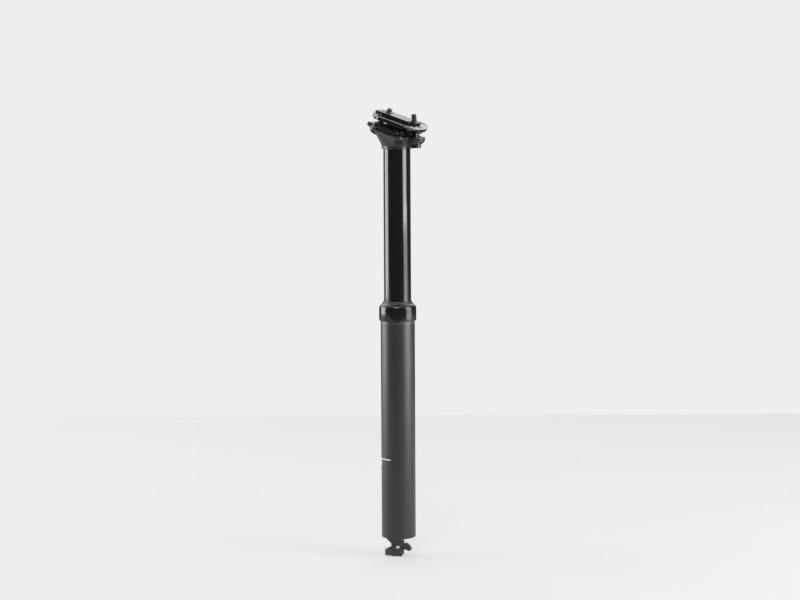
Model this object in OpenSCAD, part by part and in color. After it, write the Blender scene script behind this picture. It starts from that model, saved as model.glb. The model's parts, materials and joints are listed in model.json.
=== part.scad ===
// Dropper seatpost: a saddle head on a stanchion that slides in an outer tube,
// held up by a sealed gas cartridge and released by a lever under the tube.
// Origin: on the tube axis, at the underside of the collar. +Z is up the post,
// +X is the front of the bicycle and Y is across it.

/* [Tubes] */
// Outer tube diameter: 31.6 is a standard seat tube size
outer_d = 31.6; // [31.2:0.1:32]
// Outer tube length below the collar
outer_len = 202.6; // [198:0.2:204]
// Bore of the outer tube
outer_bore_d = 28; // [27.8:0.1:28.1]
// Stanchion diameter
stanchion_d = 25; // [24.8:0.1:25.1]
// Stanchion bore
stanchion_bore_d = 21.8; // [21.6:0.1:22]
// Height of the seam between stanchion and head
seam_z = 157.9; // [156:0.1:159]
// How far the stanchion reaches below the collar at full height
overlap = 57; // [55:0.5:58]

/* [Collar] */
// Collar diameter
collar_d = 34.4; // [34:0.1:35]
// Collar height
collar_h = 15.9; // [15.5:0.1:16.2]

/* [Head] */
// Nose-down tilt of the saddle clamp
head_tilt = 18; // [17:0.5:19]
// Height of the head datum on the tube axis
head_z = 172.2; // [171.6:0.1:172.8]
// Rocker centre above the head datum, where the two bolt axes meet
rocker_h = 49; // [48.5:0.1:49.5]
// Angle of each bolt from the clamp normal
bolt_angle = 22.6; // [22:0.1:23]
// Saddle rail spacing, centre to centre
rail_gap = 44; // [43.5:0.1:44.5]
// Saddle rail groove diameter, for 7 mm rails
rail_d = 7.1; // [7.05:0.01:7.15]

/* [Actuator] */
// Turn of the actuator about the post, seen from above
actuator_clock = 16.5; // [0:0.5:30]
// Depth of the foot below the collar
foot_z = 220.8; // [220:0.1:221.5]
// Release pin lift per radian of lever turn
cam_rise = 3.9; // [3:0.1:4]

/* [Hidden] */
$fn = 96;
eps = 0.01;

outer_r = outer_d / 2;
bore_r = outer_bore_d / 2;
stanchion_r = stanchion_d / 2;
stanchion_bore_r = stanchion_bore_d / 2;
collar_r = collar_d / 2;
rail_r = rail_d / 2;
rail_y = rail_gap / 2;
run_gap = 0.05;

// outer tube details
tube_edge = 0.6;
thread_r = 15.3;
thread_h = 12;
keyway_r = 14.7;
keyway_w = 4.4;
keyway_top = -40;
plug_h = 12.4;
plug_top = plug_h - outer_len;
key_angles = [90, 210, 330];
key_len = 8;

// cartridge details
cart_r = 9;
cart_bore_r = 7.5;
cart_bottom = -48;
cart_top = 140;
rod_r = 4;
rod_bore_r = 1.3;
rod_top = -26;
pin_r = 1.2;

// head and clamp details, in the head frame
rail_h = 7.5;
trough_r = 50;
ear_r = 56;
washer_h = 1.6;
bolt_r = 2.5;
ear_w = 17;
bolt_head_r = 4.4;
bolt_head_h = 2.8;
washer_r = 4.8;
clamp_top = 15.2;
cradle_len = 27;
clamp_end = 24;
bolt_seat_r = ear_r + 0.08 + washer_h;
front_bolt_end_r = 29.5;
rear_bolt_end_r = 32.4;
nut_r = 4.2;

// actuator details, in the actuator frame
pivot_z = -212.1;
plate_gap = 3.2;
plate_t = 2;
pivot_r = 1.5;
hub_r = 3.4;
cam_r = 4.75;
cam_clear = 0.12;
anchor_u = -8.5;
anchor_z = -205.2;
anchor_y = -0.2;
anchor_r = 1.25;
stop_u = -9.8;
foot_top = -214.8;
plate_left = -6.4;
plate_right = 4.1;
screw_r = 0.9;
screw_z = -outer_len - 2.9;

// A ring: outer radius, inner radius, bottom and top
module ring(r_out, r_in, z0, z1) {
    translate([0, 0, z0])
        difference() {
            cylinder(r = r_out, h = z1 - z0);
            translate([0, 0, -1]) cylinder(r = r_in, h = z1 - z0 + 2);
        }
}

// A solid disc from z0 to z1
module disc(r, z0, z1) {
    translate([0, 0, z0]) cylinder(r = r, h = z1 - z0);
}

// An O-ring: mean radius, cord radius and height
module o_ring(r_mean, r_cord, z) {
    translate([0, 0, z]) rotate_extrude() translate([r_mean, 0]) circle(r = r_cord, $fn = 32);
}

// Rounded rectangle made of true arcs, centred
module round_rect(l, w, r) {
    square([l - 2 * r, w], center = true);
    square([l, w - 2 * r], center = true);
    for (sx = [-1, 1], sy = [-1, 1])
        translate([sx * (l / 2 - r), sy * (w / 2 - r)]) circle(r = r);
}

// Frame of the saddle clamp: x along the rails, z normal to them
module head_frame() {
    translate([0, 0, head_z]) rotate([0, head_tilt, 0]) children();
}

// Block swept about the rocker centre, between two radii and two angles from straight down
module rocker_arc(r_in, r_out, a0, a1, w) {
    translate([0, 0, rocker_h]) rotate([90, 0, 0]) rotate([0, 0, a0 - 90])
        rotate_extrude(angle = a1 - a0) translate([r_in, -w / 2]) square([r_out - r_in, w]);
}

// Cylinder across the clamp, centred on the rocker axis
module rocker_roll(r, w) {
    translate([0, 0, rocker_h]) rotate([90, 0, 0]) cylinder(r = r, h = w, center = true, $fn = 200);
}

// Places children along one bolt axis: origin at the rocker centre, -z towards the bolt head
module bolt_axis(side) {
    translate([0, 0, rocker_h]) rotate([0, -side * bolt_angle, 0]) children();
}

// Frame of the actuator: x along the side plates, y across them
module actuator_frame() {
    rotate([0, 0, actuator_clock]) children();
}

// Extrudes a flat outline drawn in the plates' plane (x, z) over a range of y
module plate_extrude(y0, y1) {
    translate([0, y1, 0]) rotate([90, 0, 0]) linear_extrude(y1 - y0) children();
}

// Rod across the plates at (u, z), over a range of y
module cross_rod(u, z, r, y0, y1) {
    translate([u, y1, z]) rotate([90, 0, 0]) cylinder(r = r, h = y1 - y0);
}

// ---- outer tube assembly ----

module outer_tube() {
    color("#3a3b3d")
    difference() {
        rotate_extrude()
            polygon([
                [bore_r, -outer_len], [outer_r - tube_edge, -outer_len],
                [outer_r, tube_edge - outer_len], [outer_r, 0],
                [thread_r, 0], [thread_r, thread_h], [bore_r, thread_h]
            ]);
        for (a = key_angles) rotate([0, 0, a])
            translate([bore_r - 1, -keyway_w / 2, plug_top])
                cube([keyway_r - bore_r + 1, keyway_w, keyway_top - plug_top]);
    }
}

// Closes the bottom of the tube; the cartridge rod screws into it
module base_plug() {
    boss_u = 4;
    boss_depth = 4;
    color("#4a4b4e")
    difference() {
        union() {
            disc(bore_r, -outer_len, plug_top);
            actuator_frame() translate([-boss_u, -plate_gap, -outer_len - boss_depth])
                cube([2 * boss_u, 2 * plate_gap, boss_depth + 1]);
        }
        disc(rod_r, rod_seat_z(), plug_top + 1);
        disc(rod_bore_r, -outer_len - boss_depth - 1, plug_top);
        actuator_frame() for (s = [-1, 1])
            cross_rod(0, screw_z, screw_r, s > 0 ? 1.6 : -plate_gap - 1, s > 0 ? plate_gap + 1 : -1.6);
    }
}

function rod_seat_z() = 4 - outer_len;

module collar() {
    lip_r = 14.2;
    shoulder_r = outer_r;
    shoulder_z = collar_h - (shoulder_r - lip_r);
    round_r = 1.9;
    edge = 0.5;
    color("#141415")
    rotate_extrude()
        difference() {
            polygon(concat(
                [[thread_r, 0], [collar_r - edge, 0], [collar_r, edge]],
                [for (a = [0:10:70]) [
                    collar_r - round_r * (1 - cos(a)),
                    shoulder_z - 2.6 + (round_r + 1) * sin(a)]],
                [[shoulder_r, shoulder_z], [lip_r, collar_h], [lip_r, thread_h], [thread_r, thread_h]]
            ));
            translate([0, -1]) square([thread_r, thread_h + 1]);
        }
}

module wiper_seal() {
    lip_top = 18;
    color("#161617")
    rotate_extrude()
        polygon([
            [stanchion_r + run_gap, thread_h + 1], [14.2, thread_h + 1], [14.2, collar_h],
            [13.6, collar_h + 0.6], [12.9, lip_top], [stanchion_r + run_gap, lip_top],
            [stanchion_r + 0.35, collar_h], [stanchion_r + run_gap, thread_h + 2.2]
        ]);
}

module upper_bushing() {
    color("#8f7a4a") ring(bore_r - 0.02, stanchion_r + run_gap, -20, thread_h);
}

// ---- stanchion assembly ----

// Key blocks at the foot of the stanchion
module key_blocks() {
    for (a = key_angles) rotate([0, 0, a])
        translate([stanchion_r - 0.8, -2, keyway_top - 0.3 - key_len]) cube([2.8, 4, key_len]);
}

module stanchion() {
    color("#101011")
    difference() {
        ring(stanchion_r, stanchion_bore_r, -overlap, seam_z);
        key_blocks();
    }
}

module anti_rotation_keys() {
    color("#b08d45") key_blocks();
}

// Ring that runs in the outer tube, below the keys
module lower_bushing() {
    color("#8f7a4a") ring(bore_r - run_gap, stanchion_r, -overlap, keyway_top - key_len - 0.5);
}

module cartridge_tube() {
    color("#b9bcc0") ring(cart_r, cart_bore_r, cart_bottom, cart_top);
}

module cartridge_cap() {
    color("#7d8085")
    difference() {
        union() {
            disc(cart_bore_r - 0.02, cart_top - 10, cart_top);
            disc(cart_r, cart_top, cart_top + 2);
            disc(rod_r, cart_top + 2, cart_top + 11);
        }
        ring(cart_bore_r + 1, cart_bore_r - 1, cart_top - 6.4, cart_top - 4.6);
    }
}

module cap_seal() {
    color("#202020") o_ring(cart_bore_r - 0.51, 0.48, cart_top - 5.5);
}

// Threaded ring in the foot of the stanchion that holds the cartridge up
module cartridge_retainer() {
    color("#7d8085")
    difference() {
        ring(stanchion_bore_r - 0.02, rod_r + 0.6, -54, cart_bottom);
        for (a = [0, 90]) rotate([0, 0, a])
            translate([-1, -stanchion_bore_r - 1, -54 - eps]) cube([2, 2 * stanchion_bore_r + 2, 1.5]);
    }
}

module rod_guide() {
    color("#c9cbd0")
    difference() {
        ring(cart_bore_r - 0.02, rod_r + run_gap, cart_bottom, cart_bottom + 12);
        ring(rod_r + 1.1, rod_r - 1, cart_bottom + 5, cart_bottom + 6.4);
        ring(cart_bore_r + 1, cart_bore_r - 1, cart_bottom + 8, cart_bottom + 9.4);
    }
}

module rod_seal() {
    color("#202020") ring(rod_r + 1.08, rod_r + run_gap, cart_bottom + 5.1, cart_bottom + 6.3);
}

module guide_seal() {
    color("#202020") o_ring(cart_bore_r - 0.51, 0.48, cart_bottom + 8.7);
}

module floating_piston() {
    z0 = 70;
    color("#c9cbd0")
    difference() {
        disc(cart_bore_r - 0.06, z0, z0 + 8);
        ring(cart_bore_r + 1, cart_bore_r - 1.1, z0 + 3.2, z0 + 4.8);
        disc(5, z0 + 5.5, z0 + 9);
    }
}

module floating_piston_seal() {
    color("#202020") o_ring(cart_bore_r - 0.56, 0.5, 74);
}

// ---- parts fixed to the outer tube inside the cartridge ----

module piston_rod() {
    color("#d6d8dc") ring(rod_r, rod_bore_r, rod_seat_z(), rod_top);
}

module main_piston() {
    z0 = -34;
    color("#c9cbd0")
    difference() {
        disc(cart_bore_r - 0.06, z0, z0 + 7);
        disc(rod_r, z0 - 1, rod_top);
        disc(rod_bore_r, z0, z0 + 8);
        ring(cart_bore_r + 1, cart_bore_r - 1.1, z0 + 2.7, z0 + 4.3);
        for (a = [0:60:300]) rotate([0, 0, a]) translate([5.2, 0, z0 - 1]) cylinder(r = 0.6, h = 12);
    }
}

module piston_seal() {
    color("#202020") o_ring(cart_bore_r - 0.56, 0.5, -30.5);
}

// Lock nut on the rod, above the base plug
module rod_nut() {
    color("#8b8e93")
    translate([0, 0, plug_top])
        difference() {
            cylinder(r = 7.5, h = 1.6, $fn = 6);
            translate([0, 0, -1]) cylinder(r = rod_r, h = 4);
        }
}

module release_pin() {
    color("#d6d8dc")
    difference() {
        union() {
            disc(pin_r, pin_centre_z(), rod_top - 2);
            translate([0, 0, pin_centre_z()]) sphere(r = pin_r);
        }
        ring(pin_r + 1, 0.75, -61, -60);
    }
}

module pin_seal() {
    color("#202020") ring(1.24, 0.75, -60.95, -60.05);
}

function pin_centre_z() = pivot_z + cam_r;

// ---- head ----

// Forged head: neck, saddle rim, rocker trough and an ear for each bolt (start, end, top)
module head() {
    rear = 18.5;
    body_rear = 14.5;
    front = 16.2;
    half_w = 22.5;
    rim_top = 1.5;
    rim_bottom = -1.2;
    neck_z = 160.4;
    front_ear = [12, 36, 4.6];
    rear_ear = [-30.5, -12, 2.4];
    saddle_w = 39;
    washer_slot_w = 10.4;
    bolt_slot_w = 5.8;
    color("#47484a")
    difference() {
        union() {
            hull() {
                head_frame() translate([(front - body_rear) / 2, 0, rim_bottom])
                    linear_extrude(0.3) round_rect(front + body_rear - 1, 2 * half_w - 1, 5, $fn = 32);
                disc(12.9, neck_z - 0.5, neck_z - 0.1, $fn = 64);
            }
            head_frame() translate([(front - rear) / 2, 0, rim_bottom])
                linear_extrude(rim_top - rim_bottom) round_rect(front + rear, 2 * half_w, 5);
            disc(13.2, seam_z, neck_z);
            disc(stanchion_bore_r - 0.04, seam_z - 14, seam_z + 1);
            head_frame() for (ear = [front_ear, rear_ear])
                intersection() {
                    rocker_arc(trough_r - 1, ear_r + 1, ear[0], ear[1], ear_w);
                    translate([0, 0, -20]) linear_extrude(20 + ear[2]) ear_plan();
                }
        }
        head_frame() {
            rocker_roll(trough_r, saddle_w);
            for (a = [[15.2, 40], [-40, -12.2]])
                rocker_arc(ear_r, 67, a[0], a[1], washer_slot_w);
            for (a = [[16.4, 29], [-28, -14]])
                rocker_arc(48, 60, a[0], a[1], bolt_slot_w);
        }
        disc(rod_r + run_gap, seam_z - 15, cart_top + 12);
    }
}

// Plan of the two ears: a round nose in front and a squarer end behind
module ear_plan() {
    nose_x = 20;
    rear_x = 29.5;
    translate([0, -ear_w / 2]) square([nose_x, ear_w]);
    translate([nose_x, 0]) circle(r = ear_w / 2);
    translate([-rear_x / 2, 0]) round_rect(rear_x, ear_w, 3);
    translate([-5, -ear_w / 2]) square([10, ear_w]);
}

// ---- saddle clamp assembly ----

// The two saddle rail grooves
module rail_grooves() {
    for (s = [-1, 1]) translate([0, s * rail_y, rail_h]) rotate([0, 90, 0])
        cylinder(r = rail_r, h = cradle_len + 20, center = true);
}

module lower_cradle() {
    top = rail_h - 0.6;
    wing_bottom = 2.75;
    half_w = 25.6;
    color("#2c2d2f")
    head_frame()
        difference() {
            union() {
                translate([0, 0, wing_bottom]) linear_extrude(top - wing_bottom)
                    round_rect(cradle_len, 2 * half_w, 2);
                intersection() {
                    translate([-cradle_len / 2, -19.2, -3]) cube([cradle_len, 38.4, 3 + top]);
                    rocker_roll(trough_r - 0.08, 60);
                }
            }
            rail_grooves();
            translate([-cradle_len, -14, top - 2.4]) cube([2 * cradle_len, 28, 5]);
        }
}

// Half cross-section of the upper clamp, (y, z)
function clamp_section(s) = [
    [s * 25.5, 9.4], [s * 25.5, 12.2], [s * 24.8, 13.1], [s * 22.5, 12.7], [s * 18, 12],
    [s * 15, 11], [s * 10.4, 11], [s * 9.8, clamp_top]
];

// Plan of the upper clamp: wide over the rails, narrowing to a tail behind and a nose in front
module clamp_plan() {
    ear_rear = -12;
    ear_front = 16;
    ear_y = 25.5;
    end_y = 9.7;
    polygon([
        [clamp_end, -end_y], [ear_front, -ear_y], [ear_rear, -ear_y], [-clamp_end, -end_y],
        [-clamp_end, end_y], [ear_rear, ear_y], [ear_front, ear_y], [clamp_end, end_y]
    ]);
}

// Raised tail of the upper clamp, round the rear bolt
module clamp_tail() {
    tail_front = -14.6;
    shoulder_y = 7.6;
    base_z = 8.8;
    base_h = 2.6;
    skirt_y = 9.7;
    skirt_len = 11;
    skirt_foot = [1.8, 9.2, 6.8];
    hull() {
        translate([0, 0, base_z]) linear_extrude(base_h) intersection() {
            clamp_plan();
            translate([tail_front - 30, -30]) square([30, 60]);
        }
        translate([-clamp_end, -shoulder_y, clamp_top - 1])
            cube([clamp_end + tail_front, 2 * shoulder_y, 1]);
    }
    hull() {
        translate([skirt_foot[0] - clamp_end, -skirt_foot[1], skirt_foot[2]])
            cube([skirt_len - 3, 2 * skirt_foot[1], 1]);
        translate([-clamp_end, -skirt_y, 10]) cube([skirt_len, 2 * skirt_y, 1]);
    }
}

module upper_clamp() {
    top_half = concat(clamp_section(1), [for (i = [7:-1:0]) clamp_section(-1)[i]]);
    half_under = [[6, 8.2], [9, 9.4], [15, 9.4], [18, 8.6]];
    underside = concat([for (i = [3:-1:0]) [-half_under[i][0], half_under[i][1]]], half_under);
    nose_top = 12.6;
    plateau_front = 18.6;
    boss_r = 4.9;
    boss_bottom = 7.3;
    keel = [[-9, -9, 5.2], [22, 18, 4.4]];
    color("#0e0e0f")
    head_frame()
        difference() {
            union() {
                intersection() {
                    rotate([90, 0, 90]) linear_extrude(60, center = true)
                        polygon(concat(top_half, underside));
                    linear_extrude(40) clamp_plan();
                }
                clamp_tail();
                translate(keel[0]) cube(keel[1]);
                for (s = [-1, 1]) intersection() {
                    bolt_axis(s) translate([0, 0, -48]) cylinder(r = boss_r, h = 22);
                    translate([-30, -10, boss_bottom]) cube([60, 20, 6]);
                }
            }
            translate([plateau_front, -15, nose_top]) cube([10, 30, 5]);
            rail_grooves();
            for (s = [-1, 1]) translate([s * (cradle_len / 2 + 10), 0, 0])
                for (sy = [-1, 1]) translate([0, sy * rail_y, rail_h]) rotate([0, 90, 0])
                    cylinder(r = rail_r + 0.35, h = 20, center = true);
            for (s = [-1, 1]) {
                bolt_axis(s) translate([0, 0, -60]) cylinder(r = bolt_r + 0.3, h = 40);
                translate([s * nut_x(), 0, clamp_top]) rotate([90, 0, 0])
                    cylinder(r = nut_r + 0.03, h = 12.4, center = true);
            }
        }
}

function nut_x() = (rocker_h - clamp_top) * tan(bolt_angle);

// Half-round nuts that lie in the top of the upper clamp
module barrel_nuts() {
    color("#1b1b1c")
    head_frame() for (s = [-1, 1])
        difference() {
            intersection() {
                translate([s * nut_x(), 0, clamp_top]) rotate([90, 0, 0])
                    cylinder(r = nut_r, h = 12.2, center = true);
                translate([-30, -10, 0]) cube([60, 20, clamp_top + 0.3]);
            }
            bolt_axis(s) translate([0, 0, -60]) cylinder(r = bolt_r, h = 40);
        }
}

module clamp_bolts() {
    color("#1c1c1d")
    head_frame() for (s = [-1, 1]) bolt_axis(s)
        difference() {
            union() {
                disc(bolt_r, -bolt_seat_r, s > 0 ? -front_bolt_end_r : -rear_bolt_end_r);
                disc(bolt_head_r, -bolt_seat_r - bolt_head_h, -bolt_seat_r);
            }
            translate([0, 0, -bolt_seat_r - bolt_head_h - eps]) cylinder(r = 1.73, h = 2, $fn = 6);
        }
}

// Cylindrical-faced washers that slide on the head's ears
module bolt_washers() {
    color("#1c1c1d")
    head_frame() for (s = [-1, 1])
        difference() {
            bolt_axis(s) disc(washer_r, -bolt_seat_r, 1 - ear_r);
            rocker_roll(ear_r + 0.08, 30);
            bolt_axis(s) disc(bolt_r + 0.1, -70, -40);
        }
}

// ---- actuator ----

// Outline of one side plate in (x, z)
module plate_outline() {
    width = plate_right - plate_left;
    difference() {
        union() {
            translate([plate_left, pivot_z]) square([width, -outer_len - pivot_z]);
            translate([(plate_left + plate_right) / 2, -foot_z + 6]) round_rect(width, 12, 1.2);
        }
        translate([0, pivot_z]) circle(r = pivot_r + 0.02);
        translate([0, screw_z]) circle(r = screw_r + 0.05);
    }
}

module side_plate(s) {
    inner = s * plate_gap;
    outer = s * (plate_gap + plate_t);
    color("#4b4c4f")
    actuator_frame() plate_extrude(min(inner, outer), max(inner, outer)) plate_outline();
}

module near_side_plate() { side_plate(-1); }
module far_side_plate() { side_plate(1); }

// Low domed screws that hold the plates to the base plug
module plate_screws() {
    face = plate_gap + plate_t;
    head_r = 2.1;
    head_h = 1.1;
    color("#1c1c1d")
    actuator_frame() for (s = [-1, 1]) rotate([0, 0, s > 0 ? 0 : 180])
        difference() {
            union() {
                cross_rod(0, screw_z, screw_r, 1.8, face);
                translate([0, face, screw_z]) rotate([-90, 0, 0])
                    cylinder(r1 = head_r, r2 = head_r - 0.7, h = head_h);
            }
            translate([0, face + head_h, screw_z]) rotate([90, 0, 0])
                cylinder(r = 0.75, h = 1.4, center = true, $fn = 6);
        }
}

// Foot between the plates: a rounded toe with the cable housing's socket and a slanted cable guide
module housing_stop() {
    toe_r = 3.4;
    web_h = 3.4;
    socket_depth = 3.6;
    guide_lean = 22;
    face = plate_gap + plate_t;
    color("#4b4c4f")
    actuator_frame()
        difference() {
            union() {
                translate([0, 0, -foot_z]) linear_extrude(foot_z + foot_top) hull() {
                    translate([stop_u, 0]) circle(r = toe_r);
                    translate([plate_left - 0.6, -face + 0.5]) square([0.6, 2 * face - 1]);
                }
                translate([plate_left - 1, -plate_gap, -foot_z])
                    cube([plate_right - plate_left + 0.4, 2 * plate_gap, web_h]);
                translate([stop_u + 1.72, 0, foot_top - 1.5]) rotate([0, -guide_lean, 0])
                    cylinder(r = 2, h = 3);
            }
            translate([stop_u, 0, -foot_z - 1]) cylinder(r = 2.1, h = socket_depth + 1);
            translate([stop_u, 0, -foot_z]) cylinder(r = 0.8, h = 20);
            translate([stop_u + 0.9, 0, foot_top + 0.5]) rotate([0, -guide_lean, 0])
                cylinder(r = 1.3, h = 3);
        }
}

// Cam outline: a spiral offset inward by the pin's tip radius and a clearance
function cam_point(a) =
    let (r = cam_r + cam_rise * (90 - a) * PI / 180, n = sqrt(r * r + cam_rise * cam_rise),
         g = pin_r + cam_clear)
    [r * cos(a) - g * (r * cos(a) - cam_rise * sin(a)) / n,
     r * sin(a) - g * (r * sin(a) + cam_rise * cos(a)) / n];

// Cam, cable arm (left) and stop lug (right) in (x, z) about the pivot
module lever_outline() {
    polygon(concat([[0, 0]], [for (a = [64:3:112]) cam_point(a)]));
    polygon([[0, 2.4], [-4.6, 4.8], [-5.2, 8.7], [-11.1, 8.7], [-11.7, 7.6], [-2.4, -1.7], [0, -2.2]]);
    polygon([[0, 2.2], [5.4, 2.9], [7.6, 3.7], [10.6, 1], [12.4, -1.6], [11.8, -3], [10.2, -4.1],
        [6.2, -2.6], [0, -2.4]]);
}

// Lever plate on the pivot, with a blind socket for the cable's barrel
module lever() {
    near = -2.9;
    far = 1.3;
    socket_floor = anchor_y - 1.5;
    anchor_h = anchor_z - pivot_z;
    color("#4b4c4f")
    actuator_frame() translate([0, 0, pivot_z])
        difference() {
            union() {
                plate_extrude(near, far) lever_outline();
                cross_rod(0, 0, hub_r, near, far);
            }
            cross_rod(0, 0, pivot_r + run_gap, near - 1, far + 1);
            cross_rod(anchor_u, anchor_h, anchor_r + run_gap, socket_floor, far + 1);
            translate([anchor_u, anchor_y, 0]) cylinder(r = 0.8, h = anchor_h);
        }
}

module pivot_pin() {
    face = plate_gap + plate_t;
    color("#c6c8cc")
    actuator_frame()
        difference() {
            cross_rod(0, pivot_z, pivot_r, -face - 0.3, face + 1.3);
            translate([0, face + 0.9, pivot_z]) rotate([90, 0, 0])
                difference() {
                    cylinder(r = 3, h = 0.5);
                    translate([0, 0, -1]) cylinder(r = 1.1, h = 3);
                }
        }
}

module pivot_clip() {
    face = plate_gap + plate_t;
    color("#b4b6ba")
    actuator_frame()
        translate([0, face + 0.88, pivot_z]) rotate([90, 0, 0])
            difference() {
                cylinder(r = 2.7, h = 0.44);
                translate([0, 0, -1]) cylinder(r = 1.12, h = 3);
                translate([-0.9, -4, -1]) cube([1.8, 4, 3]);
            }
}

// Torsion spring about the pivot, drawn as closed turns
module return_spring() {
    wire_r = 0.3;
    turns = 2;
    color("#c6c8cc")
    actuator_frame() translate([0, 0, pivot_z])
        for (i = [0:turns - 1]) translate([0, 1.85 + i * 0.7, 0]) rotate([90, 0, 0])
            rotate_extrude() translate([2.3, 0]) circle(r = wire_r, $fn = 24);
}

// Brass barrel that grips the cable's end
module cable_anchor() {
    color("#b08d45")
    actuator_frame()
        difference() {
            cross_rod(anchor_u, anchor_z, anchor_r, anchor_y - 1.45, 1.7);
            translate([anchor_u, anchor_y, anchor_z - 5]) cylinder(r = 0.6, h = 10);
            cross_rod(anchor_u, anchor_z, 0.75, anchor_y + 0.65, 3);
        }
}

module anchor_screw() {
    color("#c6c8cc")
    actuator_frame()
        difference() {
            cross_rod(anchor_u, anchor_z, 0.75, anchor_y + 0.7, 1.7);
            translate([anchor_u, 2.2, anchor_z]) rotate([90, 0, 0]) cylinder(r = 0.4, h = 1.4, $fn = 6);
        }
}

outer_tube();
base_plug();
collar();
wiper_seal();
upper_bushing();
stanchion();
lower_bushing();
anti_rotation_keys();
head();
cartridge_tube();
cartridge_cap();
cap_seal();
cartridge_retainer();
rod_guide();
rod_seal();
guide_seal();
floating_piston();
floating_piston_seal();
piston_rod();
main_piston();
piston_seal();
rod_nut();
release_pin();
pin_seal();
lower_cradle();
upper_clamp();
clamp_bolts();
bolt_washers();
barrel_nuts();
near_side_plate();
far_side_plate();
plate_screws();
housing_stop();
lever();
pivot_pin();
pivot_clip();
return_spring();
cable_anchor();
anchor_screw();
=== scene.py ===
"""Dropper seatpost: detailed surfaces, materials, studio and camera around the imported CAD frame."""
import json
import math

import bpy
import numpy as np
from mathutils import Matrix, Vector

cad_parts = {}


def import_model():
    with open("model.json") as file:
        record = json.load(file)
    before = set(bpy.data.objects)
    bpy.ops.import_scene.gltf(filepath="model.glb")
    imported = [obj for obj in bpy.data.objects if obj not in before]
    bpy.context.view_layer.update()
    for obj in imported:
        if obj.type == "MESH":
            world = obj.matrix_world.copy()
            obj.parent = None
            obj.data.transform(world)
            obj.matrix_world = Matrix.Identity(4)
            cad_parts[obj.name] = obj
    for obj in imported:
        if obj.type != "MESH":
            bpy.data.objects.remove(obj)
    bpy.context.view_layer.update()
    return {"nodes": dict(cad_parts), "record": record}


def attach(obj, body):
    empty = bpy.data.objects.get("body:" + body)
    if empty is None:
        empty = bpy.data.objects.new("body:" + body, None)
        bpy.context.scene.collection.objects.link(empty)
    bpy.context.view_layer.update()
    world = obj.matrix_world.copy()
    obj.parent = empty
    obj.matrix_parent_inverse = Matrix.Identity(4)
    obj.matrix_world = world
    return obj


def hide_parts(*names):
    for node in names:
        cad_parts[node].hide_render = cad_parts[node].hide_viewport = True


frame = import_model()

MM = 0.001
TWO_PI = 2 * math.pi

# ---- sizes in millimetres, as in the CAD model ----
TUBE_R, TUBE_BORE_R, TUBE_LEN = 15.8, 14.0, 202.6
THREAD_R, THREAD_H = 15.3, 12.0
STANCHION_R, STANCHION_BORE_R, OVERLAP, SEAM_Z = 12.5, 10.9, 57.0, 157.9
COLLAR_R, COLLAR_H, LIP_R = 17.2, 15.9, 14.2
TILT = math.radians(18)
HEAD_Z = 172.2
ROCKER_H = 49.0
BOLT_ANGLE = math.radians(22.6)
TROUGH_R, EAR_R = 50.0, 56.0
RAIL_Y, RAIL_H, RAIL_R = 22.0, 7.5, 3.55
CLAMP_TOP = 15.2
CLAMP_END = 23.95
NUT_R = 4.2
NUT_X = (ROCKER_H - CLAMP_TOP) * math.tan(BOLT_ANGLE)
BOLT_SEAT = EAR_R + 0.08 + 1.6
FRONT_BOLT_END, REAR_BOLT_END = 29.5, 32.4
BOLT_R, BOLT_HEAD_R, BOLT_HEAD_H, WASHER_R = 2.5, 4.4, 2.8, 4.8
EAR_W = 17.0
EAR_MEAN_R = (TROUGH_R + EAR_R) / 2
CLOCK = math.radians(16.5)
PIVOT_Z, FOOT_Z, FOOT_TOP = -212.1, -220.8, -214.8
PLATE_GAP, PLATE_T = 3.2, 2.0
PLATE_LEFT, PLATE_RIGHT = -6.4, 4.1
SCREW_Z, SCREW_R = -TUBE_LEN - 2.9, 0.9
ANCHOR_U, ANCHOR_Y, ANCHOR_Z, ANCHOR_R = -8.5, -0.2, -205.2, 1.25
STOP_U = -9.8

HEAD_FRAME = Matrix.Translation((0, 0, HEAD_Z)) @ Matrix.Rotation(TILT, 4, "Y")
ACTUATOR_FRAME = Matrix.Rotation(CLOCK, 4, "Z")


# ---- materials ----

class Nodes:
    """A short way to build one material's node tree."""

    def __init__(self, name):
        self.material = bpy.data.materials.new(name)
        self.material.use_nodes = True
        self.tree = self.material.node_tree
        self.shader = self.tree.nodes["Principled BSDF"]

    def add(self, kind, **settings):
        node = self.tree.nodes.new(kind)
        for key, value in settings.items():
            if hasattr(node, key):
                setattr(node, key, value)
            else:
                node.inputs[key.replace("_", " ")].default_value = value
        return node

    def link(self, a, b):
        self.tree.links.new(a, b)

    def noise(self, scale, detail=4.0, roughness=0.55, stretch=(1, 1, 1)):
        """Noise in object space; scale is in cycles per metre."""
        coords = self.add("ShaderNodeTexCoord")
        mapping = self.add("ShaderNodeMapping")
        mapping.inputs["Scale"].default_value = stretch
        self.link(coords.outputs["Object"], mapping.inputs["Vector"])
        noise = self.add("ShaderNodeTexNoise", Scale=scale, Detail=detail, Roughness=roughness)
        self.link(mapping.outputs["Vector"], noise.inputs["Vector"])
        return noise.outputs["Fac"]

    def ramp(self, value, low, high, out_low, out_high):
        """Maps value from low..high to out_low..out_high, clamped."""
        node = self.add("ShaderNodeMapRange")
        node.inputs["From Min"].default_value = low
        node.inputs["From Max"].default_value = high
        node.inputs["To Min"].default_value = out_low
        node.inputs["To Max"].default_value = out_high
        self.link(value, node.inputs["Value"])
        return node.outputs["Result"]

    def mix_colour(self, factor, a, b):
        node = self.add("ShaderNodeMix", data_type="RGBA")
        node.inputs["A"].default_value = (*a, 1)
        node.inputs["B"].default_value = (*b, 1)
        self.link(factor, node.inputs["Factor"])
        return node.outputs["Result"]

    def bump(self, height, distance_mm, strength=1.0):
        node = self.add("ShaderNodeBump", Strength=strength, Distance=distance_mm * MM)
        self.link(height, node.inputs["Height"])
        self.link(node.outputs["Normal"], self.shader.inputs["Normal"])


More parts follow.
